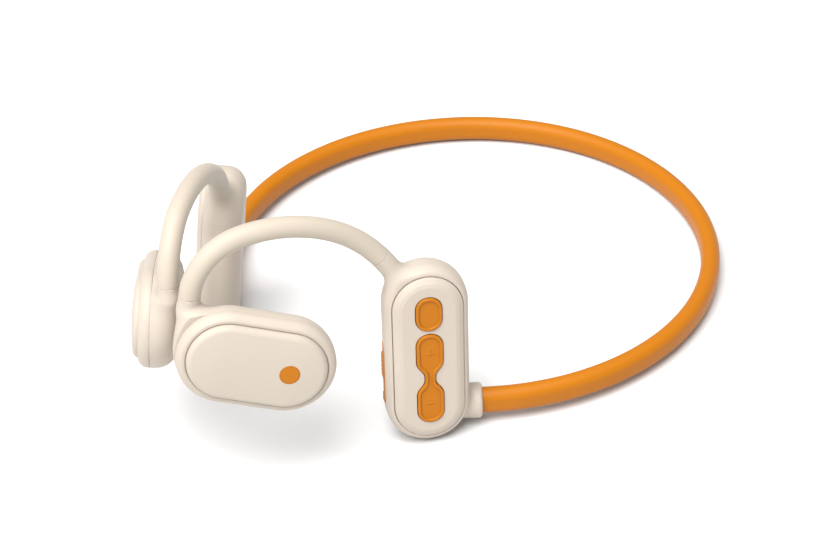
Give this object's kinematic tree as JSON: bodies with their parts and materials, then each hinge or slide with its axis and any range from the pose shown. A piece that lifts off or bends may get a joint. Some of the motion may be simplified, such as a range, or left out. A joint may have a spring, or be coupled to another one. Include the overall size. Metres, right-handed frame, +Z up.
{
  "type": "bone conduction headphones",
  "caption": "Open-ear bone conduction headphones: a silicone neckband, two control housings, ear hooks and vibrating pods, with working keys, port flap and drivers.",
  "frame": {"origin": "on the table under the middle of the outline, with the object standing on its two housings and the back of the band", "axes": "+X to the pods, the wearer's front; +Y to the wearer's left, the side with the keys; +Z up"},
  "size_m": [0.159, 0.1184, 0.0606],
  "materials": {
    "orange_silicone": "satin silicone",
    "orange_key": "soft-touch",
    "orange_inlay": "satin",
    "cream_plastic": "fine satin",
    "cream_silicone": "satin silicone",
    "spring_steel": "drawn wire",
    "steel": "plain",
    "magnet_nickel": "nickel plated",
    "copper": "enamelled wire",
    "cable_jacket": "matte",
    "grey_rubber": "matte",
    "circuit_board": "solder mask",
    "battery_foil": "foil pouch",
    "black_plastic": "moulded"
  },
  "bodies": {
    "root": {"neckband_sleeve": "orange_silicone", "neckband_wire": "spring_steel", "neckband_cable": "cable_jacket", "left_band_anchor": "steel", "right_band_anchor": "steel", "left_housing_shell": "cream_plastic", "right_housing_shell": "cream_plastic", "left_housing_cover": "cream_plastic", "right_housing_cover": "cream_plastic", "left_cover_seal": "grey_rubber", "right_cover_seal": "grey_rubber", "key_board": "circuit_board", "key_switches": "steel", "main_board": "circuit_board", "usb_socket": "steel", "microphone": "steel", "battery": "battery_foil", "battery_board": "circuit_board", "left_hook_sleeve": "cream_silicone", "right_hook_sleeve": "cream_silicone", "left_hook_wire": "spring_steel", "right_hook_wire": "spring_steel", "left_hook_cable": "cable_jacket", "right_hook_cable": "cable_jacket", "left_pod_inner_shell": "cream_plastic", "right_pod_inner_shell": "cream_plastic", "left_pod_outer_shell": "cream_plastic", "right_pod_outer_shell": "cream_plastic", "left_faceplate": "cream_plastic", "right_faceplate": "cream_plastic", "left_badge": "orange_inlay", "right_badge": "orange_inlay", "left_skin_pad": "cream_silicone", "right_skin_pad": "cream_silicone", "left_driver_basket": "black_plastic", "right_driver_basket": "black_plastic", "left_voice_coil": "copper", "right_voice_coil": "copper"},
    "power_button": {"power_button": "orange_key"},
    "volume_rocker": {"volume_rocker": "orange_key"},
    "port_cover": {"port_cover": "orange_silicone"},
    "left_driver": {"left_yoke": "steel", "left_magnet": "magnet_nickel", "left_pole_plate": "steel", "left_spring_plate": "spring_steel"},
    "right_driver": {"right_yoke": "steel", "right_magnet": "magnet_nickel", "right_pole_plate": "steel", "right_spring_plate": "spring_steel"}
  },
  "joints": [
    {"name": "power_button_press", "type": "slide", "parent": "root", "child": "power_button", "axis": [-0.6191, -0.7759, -0.1213], "range_m": [0, 0.00035], "stiffness_N_per_m": 400},
    {"name": "volume_rocker_tilt", "type": "hinge", "parent": "root", "child": "volume_rocker", "pos_m": [0.03294, 0.03229, 0.01693], "axis": [0.7779, -0.6271, 0.0409], "range_deg": [-2, 2], "stiffness_Nm_per_rad": 0.02},
    {"name": "port_cover_open", "type": "hinge", "parent": "root", "child": "port_cover", "pos_m": [0.03853, 0.02478, 0.00925], "axis": [0.6191, 0.7759, 0.1213], "range_deg": [0, 90], "stiffness_Nm_per_rad": 0.0005},
    {"name": "left_driver_shake", "type": "slide", "parent": "root", "child": "left_driver", "axis": [0.6548, 0.7478, 0.1099], "range_m": [-0.0003, 0.0003], "stiffness_N_per_m": 4000},
    {"name": "right_driver_shake", "type": "slide", "parent": "root", "child": "right_driver", "axis": [0.6548, -0.7478, 0.1099], "range_m": [-0.0003, 0.0003], "stiffness_N_per_m": 4000}
  ]
}
